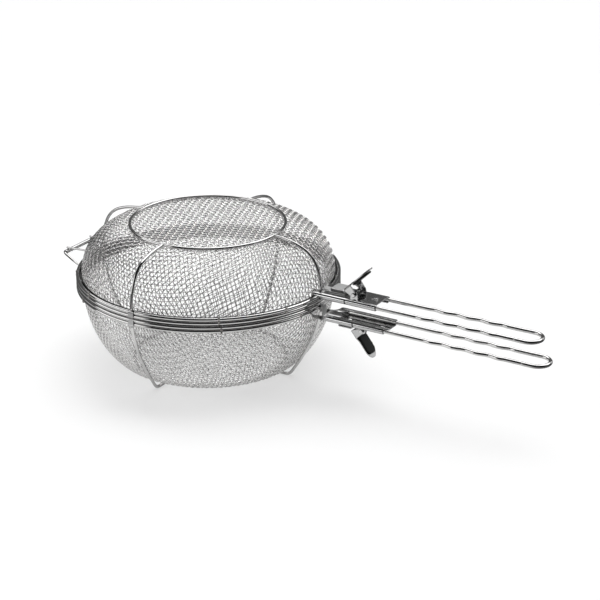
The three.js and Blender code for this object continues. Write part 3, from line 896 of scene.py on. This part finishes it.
def add_bail(lower):
    """The lower half's bent wire: two feet on the rim, and the bar that the sleeve turns on."""
    foot_y, foot_r, foot_z = 45.0, 151.7, 5.8
    bar_half, corner = 30.0, 3.0
    foot_x = -math.sqrt(foot_r**2 - foot_y**2)
    side = [
        (foot_x, foot_y, foot_z),
        ((foot_x + HINGE_X) / 2, (foot_y + bar_half) / 2 + 0.4, foot_z / 2),
        (HINGE_X + corner, bar_half + 0.4, 0.4),
        (HINGE_X, bar_half - corner, 0),
        (HINGE_X, bar_half - 4 * corner, 0),
    ]
    path = smooth_line(side + [(x, -y, z) for x, y, z in side[::-1]], 1.0)
    shape = tube(Shape(), path, BAIL_WIRE_R, 14)
    add_piece(lower, "bail_wire", shape, "basket", ["hinge_bail"], "polished_wire")


def add_sleeve(upper):
    """The upper half's sheet, rolled most of the way round the bar."""
    low, high = box_mm("upper_hinge_sleeve")
    half_length = (high[1] - low[1]) / 2
    middle_r, skin = 2.35, 0.9
    start, sweep = 52.0, 272.0
    angles = np.radians(start + np.linspace(0, sweep, 40))
    lengths = middle_r * (angles - angles[0])

    def bend(t, y):
        angle = np.interp(t, lengths, angles)
        out = np.stack([np.cos(angle), 0 * t, np.sin(angle)], 1)
        return out * middle_r + np.stack([0 * t + HINGE_X, y, 0 * t], 1), out

    outline = rectangle((0, -half_length), (lengths[-1], half_length), 0.8)
    shape = sheet(Shape(), outline, [], bend, skin, step=0.7)
    add_piece(upper, "rolled_sleeve", shape, "basket", ["hinge_sleeve"], "sheet_steel")


def add_hinge_legs(upper):
    """Two wires from the rolled sheet to the upper rim."""
    for side, y in (("left", -22.0), ("right", 22.0)):
        spread = y * 1.15
        rim_x = -math.sqrt(151.55**2 - spread**2)
        points = [
            (HINGE_X - 1, y, 4.2), (HINGE_X + 5, y, 4.5),
            (rim_x - 8, y * 1.12, 6.8), (rim_x, spread, 7.6),
        ]
        leg = tube(Shape(), smooth_line(points, 1.0), LEG_WIRE_R, 14)
        node = f"hinge_leg_{side}"
        add_piece(upper, f"leg_wire_{side}", leg, "basket", [node], "polished_wire")


# ---------- Handles


def add_handle_loop(half):
    """One wire: two runs with finger waves, and a round end."""
    start, step = 167.0, 1.5
    wave_start, pitch, waves, depth, fade_in = 274.0, 27.0, 3.5, 0.95, 6
    wave_end = wave_start + pitch * waves
    end = box_mm("upper_handle_loop")[1][0] - HANDLE_WIRE_R
    bend_x = end - HANDLE_HALF
    x = np.arange(start, bend_x, step)
    fade = np.clip(np.minimum(x - wave_start, wave_end - x) / fade_in, 0, 1)
    wave = depth * fade * np.sin((x - wave_start) / pitch * 2 * math.pi)
    y = HANDLE_HALF - 0.3 * (x < bend_x - 10) + wave
    run = np.stack([x, y, 0 * x + HANDLE_WIRE_Z], 1)
    angles = np.radians(np.arange(90, -91, -6))
    turn = np.stack([np.cos(angles), np.sin(angles), 0 * angles], 1) * HANDLE_HALF
    turn = turn + [bend_x, 0, HANDLE_WIRE_Z]
    path = np.concatenate([run, turn, run[::-1] * [1, -1, 1]])
    shape = tube(Shape(), path, HANDLE_WIRE_R, 18)
    add_piece(half, "handle_wire", shape, "handle", ["handle_loop"], "polished_wire")


def add_channel(half):
    """The clamp's pressed sheet: it wraps both wires and ends in a fork over the rim."""
    fold = fold_profile(HANDLE_HALF, (WRAP_R, -180), 3.0)
    wrap = HANDLE_HALF + math.pi * WRAP_R
    side = wrap + 2.6
    tip = FORK_TIP_X - half["outset"]
    right = [
        (162.5, 4.5), (tip + 12, 4.8), (tip + 0.5, 8.0), (tip, 12.5), (tip + 3, 14.5),
        (146, 15.5), (151, 17.5), (158, wrap - 1.0), (162, side), (PLATE_BACK_X, side),
    ]
    holes = [
        rectangle((213.0, -2.2), (217.8, 2.2)),
        hole(RIVET_X, 0, 1.8),
        rectangle((187.0, 15.6), (189.2, side - 3.4)),
        rectangle((187.0, 3.4 - side), (189.2, -15.6)),
        rectangle((191.0, 7.4), (200.0, 8.4), 0.3),
        rectangle((191.0, -8.4), (200.0, -7.4), 0.3),
    ]
    bend = folded_across(fold, PLATE_Z)
    shape = sheet(Shape(), both_sides(right, 1.2), holes, bend, fine=0.45)
    add_hooks(shape, tip)
    add_base_ears(shape)
    tab = [(-2.4, PLATE_Z), (2.4, PLATE_Z), (2, PLATE_Z + 2.6), (-2, PLATE_Z + 2.6)]
    sheet(shape, rounded(tab, 0.7), [], cross_wall(218.4), 0.9, step=0.6)
    add_piece(half, "clamp_sheet", shape, "handle", ["clamp_channel"], "sheet_steel")


def add_hooks(shape, tip):
    """The fork's two tips turn down behind the top rim wire."""
    drop, radius = 7.6, 1.2
    fold = fold_profile(2.2, (radius, -90), drop)
    bend = mirrored_x(folded_along(fold, 0, PLATE_Z, 0), tip + 3.6)
    for low, high in ((-13.0, -8.0), (8.0, 13.0)):
        sheet(shape, rectangle((0, low), (fold[0][-1], high), 0.8), [], bend, 0.9, step=0.7)


def add_base_ears(shape):
    """Two ears lanced up from the plate hold the pivot pin."""
    foot, top, ear_y = PLATE_Z - 0.3, PIVOT_Z + 3.4, 9.5
    corners = [
        (PIVOT_X - 5, foot), (PIVOT_X + 5, foot), (PIVOT_X + 3.4, top), (PIVOT_X - 3.4, top),
    ]
    pin_hole = hole(PIVOT_X, PIVOT_Z, 1.7)
    for y in (-ear_y, ear_y):
        sheet(shape, rounded(corners, 2.2), [pin_hole], upright(y), step=0.7)


def add_jaw(half):
    """The sliding jaw: a tongue with a lip down the front, and a raised bridge over the rivet."""
    low = PLATE_Z + SHEET + SLIDE_GAP
    lip_x = JAW_FRONT_X + SHEET / 2 - half["outset"]
    lip_z, shoulder_x = 4.0, 161.0
    drop = low - lip_z - BEND_R
    run_start = lip_x + BEND_R
    fold = fold_profile(drop, (BEND_R, -90), JAW_BACK_X - run_start)
    total = fold[0][-1]
    shoulder = drop + math.pi / 2 * BEND_R + shoulder_x - run_start
    tongue = [(0, 3.8), (shoulder - 1, 3.8), (shoulder + 1.5, 7.5), (total, 7.5)]
    rivet = total - (JAW_BACK_X - RIVET_X)
    slot = rectangle((rivet - 8.1, -1.8), (rivet + 1.8, 1.8), 1.7)
    shape = sheet(Shape(), both_sides(tongue, 1.0), [slot], folded_along(fold, lip_x, lip_z, 90))
    rise, top_run = 20.9 - low, 181.0 - 165.6 - 1.2
    bridge = fold_profile(0.8, (1.2, 90), rise - 2.4, (1.2, -90), top_run, (1.6, -40), 3.4)
    plate = [(0, 7.0), (3.4, 7.0), (rise + 2.5, 8.5), (bridge[0][-1], 8.2)]
    sheet(shape, both_sides(plate, 1.0), [], folded_along(bridge, 163.2, low + 0.2, 0))
    add_piece(half, "jaw_sheet", shape, "jaw", ["sliding_jaw"], "sheet_steel", "brushed_steel")


def add_rivet(half):
    """The stud through plate and jaw, with a head on each side."""
    head = PLATE_Z + SHEET * 1.5 + 2 * SLIDE_GAP
    tail = PLATE_Z - SHEET / 2 - SLIDE_GAP
    profile = [
        (0, tail - 0.9), (1.6, tail - 0.9), (2.5, tail - 0.5), (2.6, tail), (1.5, tail),
        (1.5, head), (2.7, head), (2.6, head + 0.5), (1.8, head + 0.9), (0, head + 1.0),
    ]
    shape = lathe(Shape(), profile, (RIVET_X, 0, 0))
    add_piece(half, "jaw_stud", shape, "handle", ["jaw_rivet"], "polished_wire")


def add_pin(half):
    """The lever's pivot, with a head outside each of the lever's ears."""
    right = [(1.5, 11.3), (1.5, 11.7), (2.4, 11.7), (2.5, 12.1), (1.9, 12.6), (0, 12.7)]
    profile = [(r, -y) for r, y in right[::-1]] + right
    shape = lathe(Shape(), profile, (PIVOT_X, 0, PIVOT_Z), axis="Y")
    add_piece(half, "pivot_pin", shape, "handle", ["lever_pin"], "polished_wire")


def add_spring(half):
    """A torsion coil round the pin, with one leg on the plate and one under the lever."""
    coil_r, coil_half, turns, reach = 3.0, 6.0, 7.4, 9.4
    angles = -math.pi / 2 - np.linspace(0, 2 * math.pi * turns, 220)
    y = np.linspace(-coil_half, coil_half, len(angles))
    coil = np.stack([coil_r * np.cos(angles), y, coil_r * np.sin(angles)], 1)
    leg = [10, -coil_half, -coil_r - 0.2]
    lean = math.radians(half["lever_angle"])
    tip = [-reach * math.sin(lean), coil_half, reach * math.cos(lean)]
    path = np.concatenate([[leg], coil, [tip]]) + [PIVOT_X, 0, PIVOT_Z]
    shape = tube(Shape(), path, COIL_WIRE_R, 8)
    add_piece(half, "torsion_coil", shape, "handle", ["lever_spring"], "spring_steel")


# ---------- The squeeze lever, drawn about its pivot with the plate level above it


def tipped(shape, half):
    """Turns the lever about its pivot, and moves the pivot to its place."""
    a = math.radians(half["lever_angle"])
    c, s = math.cos(a), math.sin(a)
    return shape.move(np.array([[c, 0, s], [0, 1, 0], [-s, 0, c]]), [PIVOT_X, 0, PIVOT_Z])


def add_lever(half):
    """A bent plate whose two ears hang on the pin."""
    plate_z, ear_y = 11.2, 10.9
    back, length, wide = -6.1, 31.9, 8.5
    fold = fold_profile(ear_y - BEND_R, (BEND_R, -90), plate_z + 3.0)
    bend_end = ear_y - BEND_R + math.pi / 2 * BEND_R
    axle = bend_end + plate_z - BEND_R
    right = [
        (back, ear_y - 1), (back, bend_end), (-3.2, axle), (-2.2, axle + 2.6), (2.2, axle + 2.6),
        (3.0, axle), (4.0, bend_end + 1), (5.4, ear_y - 1), (9.0, wide), (24.5, wide),
        (29.5, wide * 0.72), (length, wide * 0.3),
    ]
    window = rectangle((-1.9, -2.2), (1.5, 2.2), 1.2)
    holes = [hole(0, axle, 1.7), hole(0, -axle, 1.7), window]
    shape = sheet(Shape(), both_sides(right, 1.6), holes, folded_across(fold, plate_z), 1.2)
    shape = tipped(shape, half)
    add_piece(half, "lever_sheet", shape, "lever", ["squeeze_lever"], "sheet_steel")


def add_pad(half):
    """A moulded pad with a crowned face and grip grooves."""
    top, thick, start, end, wide = 10.3, 2.0, 3.9, 27.4, 7.6
    crown, groove, groove_pitch, groove_wide = 0.25, 0.15, 4.6, 0.6
    right = [(start, wide), (end - 5, wide), (end - 0.6, wide * 0.62), (end, 0)]
    outline = rounded([(x, -y) for x, y in right[:3]] + right[::-1], 3.0)

    def bend(x, y):
        from_groove = np.mod(x - start, groove_pitch) - groove_pitch / 2
        face = crown * (1 - (y / wide) ** 2)
        dip = groove * np.exp(-((from_groove / groove_wide) ** 2))
        middle = np.stack([x, y, top - thick / 2 - face + dip], 1)
        return middle, np.tile([0.0, 0.0, 1.0], (len(x), 1))

    shape = sheet(Shape(), outline, [], bend, thick, step=0.6, edge=0.6)
    shape = tipped(shape, half)
    add_piece(half, "lever_rubber", shape, "lever", ["lever_pad"], "black_rubber", sharp=60)


# ---------- Stage


def camera_sees(make):
    """1 where the camera looks straight at a surface, and 0 in what the metal mirrors."""
    return make("ShaderNodeLightPath").outputs["Is Camera Ray"]


def round_fade(make, place, middle, reach, share):
    """From the first share to the second as the distance from the middle grows over the reach."""
    offset = make("ShaderNodeVectorMath", {0: place, 1: middle}, operation="SUBTRACT")
    apart = make("ShaderNodeVectorMath", {0: offset.outputs["Vector"]}, operation="LENGTH")
    return smooth_step(make, apart.outputs["Value"], *reach, *share)


def floor_material():
    """A pale light table: white to the camera, but mirrored as a patch of limited size, which is a
    painted pool of light with a painted shadow under the basket.
    """
    material = bpy.data.materials.new("light_table")
    make = use_new_nodes(material)
    place = make("ShaderNodeTexCoord").outputs["Object"]
    toward_camera = math.radians(CAMERA_AZIMUTH)
    middle = (PATCH_SHIFT * math.sin(toward_camera), -PATCH_SHIFT * math.cos(toward_camera), 0)
    # Painted pool of light: in reflections the floor's brightness fades out from a middle towards
    # the camera.
    patch = round_fade(make, place, middle, PATCH_FADE, PATCH_SHARE)
    # Painted shadow: in reflections the floor is darker under the basket.
    under = round_fade(make, place, (0, 0, 0), UNDER_SHADOW_FADE, UNDER_SHADOW_SHARE)
    inputs = {"Factor": camera_sees(make), NUMBER_A: product(make, patch, under), NUMBER_B: 1.0}
    share = make("ShaderNodeMix", inputs).outputs[0]
    paper = span(make, noise(make, place, 1.5, 2.0), *PAPER_WHITE)
    surface = make("ShaderNodeBsdfDiffuse", {"Color": product(make, paper, share)}).outputs[0]
    lit = make("ShaderNodeEmission", {"Strength": product(make, share, FLOOR_GLOW)}).outputs[0]
    both = make("ShaderNodeAddShader", {0: surface, 1: lit}).outputs[0]
    make("ShaderNodeOutputMaterial", {"Surface": both})
    return material


def add_floor():
    mesh = bpy.data.meshes.new("floor")
    far = FLOOR_REACH
    corners = [(-far, -far, 0), (far, -far, 0), (far, far, 0), (-far, far, 0)]
    mesh.from_pydata(corners, [], [(0, 1, 2, 3)])
    mesh.materials.append(floor_material())
    floor = bpy.data.objects.new("floor", mesh)
    bpy.context.scene.collection.objects.link(floor)


def add_camera():
    """Looks down at the closed basket from the front, with the handles to the right."""
    a, e = math.radians(CAMERA_AZIMUTH), math.radians(CAMERA_ELEVATION)
    right = Vector((math.cos(a), math.sin(a), 0))
    back = Vector((math.sin(a) * math.cos(e), -math.cos(a) * math.cos(e), math.sin(e)))
    up = back.cross(right)
    data = bpy.data.cameras.new("camera")
    data.lens = CAMERA_LENS
    data.sensor_width = SENSOR_WIDTH
    camera = bpy.data.objects.new("camera", data)
    turn = Matrix((right, up, back)).transposed()
    centre = Vector((0, 0, JOINT_Z * MM))
    place = centre + back * CAMERA_DISTANCE + right * CAMERA_SHIFT_RIGHT + up * CAMERA_SHIFT_UP
    camera.matrix_world = Matrix.Translation(place) @ turn.to_4x4()
    bpy.context.scene.collection.objects.link(camera)
    bpy.context.scene.camera = camera


def add_top_light():
    """A very wide soft light straight above. The metal does not mirror it."""
    data = bpy.data.lights.new("top_light", "SUN")
    data.energy = TOP_LIGHT
    data.angle = math.radians(TOP_LIGHT_ANGLE)
    light = bpy.data.objects.new("top_light", data)
    light.rotation_euler = (0, math.radians(TOP_LIGHT_LEAN), 0)
    light.visible_glossy = False
    bpy.context.scene.collection.objects.link(light)


def add_cards():
    """Softboxes close to the set, so that what they do to a wire changes along its length."""
    for name, (azimuth, height, distance, width, tall, brightness) in CARDS.items():
        angle = math.radians(azimuth) - math.radians(CAMERA_AZIMUTH)
        place = Vector((distance * math.sin(angle), distance * math.cos(angle), height))
        data = bpy.data.lights.new(name, "AREA")
        data.shape = "RECTANGLE"
        data.size, data.size_y = width, tall
        data.energy = brightness * math.pi * width * tall
        light = bpy.data.objects.new(name, data)
        light.location = place
        light.rotation_mode = "QUATERNION"
        aim = Vector((0, 0, JOINT_Z * MM)) - place
        light.rotation_quaternion = aim.to_track_quat("-Z", "Y")
        bpy.context.scene.collection.objects.link(light)


def window(make, value, low, high, soft):
    """1 between low and high, with soft edges."""
    rise = smooth_step(make, value, low - soft, low + soft)
    fall = smooth_step(make, value, high - soft, high + soft, 1.0, 0.0)
    return product(make, rise, fall)


def add_world():
    """Soft walls round a dark studio. The camera itself sees plain white behind the floor."""
    world = bpy.data.worlds.new("studio")
    make = use_new_nodes(world)
    way = make("ShaderNodeTexCoord").outputs["Generated"]
    inputs = {"Vector": way, "Rotation": (0, 0, -math.radians(CAMERA_AZIMUTH))}
    turned_way = make("ShaderNodeMapping", inputs).outputs["Vector"]
    x, y, z = make("ShaderNodeSeparateXYZ", {"Vector": turned_way}).outputs
    azimuth = product(make, maths(make, "ARCTAN2", x, y), math.degrees(1))
    elevation = product(make, maths(make, "ARCSINE", z), math.degrees(1))
    total = DARK_STUDIO
    for left, right, low, high, soft, brightness in WALLS.values():
        across = window(make, azimuth, left, right, soft)
        upright_share = window(make, elevation, low, high, soft)
        wall = product(make, product(make, across, upright_share), brightness)
        total = maths(make, "ADD", total, wall)
    shown = maths(make, "MAXIMUM", total, camera_sees(make))
    light = make("ShaderNodeBackground", {"Color": shown})
    make("ShaderNodeOutputWorld", {"Surface": light.outputs[0]})
    bpy.context.scene.world = world


# ---------- The two halves

# bowl is its depth and its curve's two powers, and mesh_flat_z is where its top flattens. rib is
# a path of radius and height. mesh_turn and weld_at are degrees about the basket's axis. outset
# is how much further out than the upper handle this one sits.
UPPER = {
    "name": "upper",
    "sign": 1,
    "depth": local_z("upper_base_ring"),
    "bowl": (72.6, 2.85, 2.63),
    "mesh_flat_z": 61.9,
    "mesh_pitch": 5.3,
    "mesh_turn": -25.0,
    "rib": [
        (148.4, 10.2), (147.4, 22), (144.4, 34), (138.6, 46), (129.5, 54.6), (117, 60),
        (103, 63), (89.4, 64.5),
    ],
    "weld_at": (-52.0, -22.0, -118.0, 60.0, 130.0, 215.0),
    "outset": 0.0,
    "lever_angle": 44.4,
}
LOWER = {
    "name": "lower",
    "sign": -1,
    "depth": local_z("lower_base_ring"),
    "bowl": (113.0, 1.9, 3.6),
    "mesh_flat_z": 95.8,
    "mesh_pitch": 5.0,
    "mesh_turn": -41.0,
    "rib": [
        (148.4, 10.2), (147.2, 17), (143.6, 30), (138.4, 45), (131.0, 60), (123.0, 75),
        (114.5, 88), (110.8, 93.6), (107.6, 97), (103.5, 98.4), (98, 98.5), (89.4, 98.5),
    ],
    "weld_at": (-51.0, -14.0, -125.0, 45.0, 120.0, 205.0),
    "outset": box_mm("lower_handle_loop")[1][0] - box_mm("upper_handle_loop")[1][0],
    "lever_angle": 52.0,
}

for half in (UPPER, LOWER):
    add_bowl(half)
    add_rims(half)
    add_rim_welds(half)
    add_ribs(half)
    add_handle_loop(half)
    add_channel(half)
    add_jaw(half)
    add_rivet(half)
    add_pin(half)
    add_spring(half)
    add_lever(half)
    add_pad(half)
add_bail(LOWER)
add_sleeve(UPPER)
add_hinge_legs(UPPER)

add_floor()
add_camera()
add_world()
add_cards()
add_top_light()
bpy.context.scene.view_settings.view_transform = "Standard"
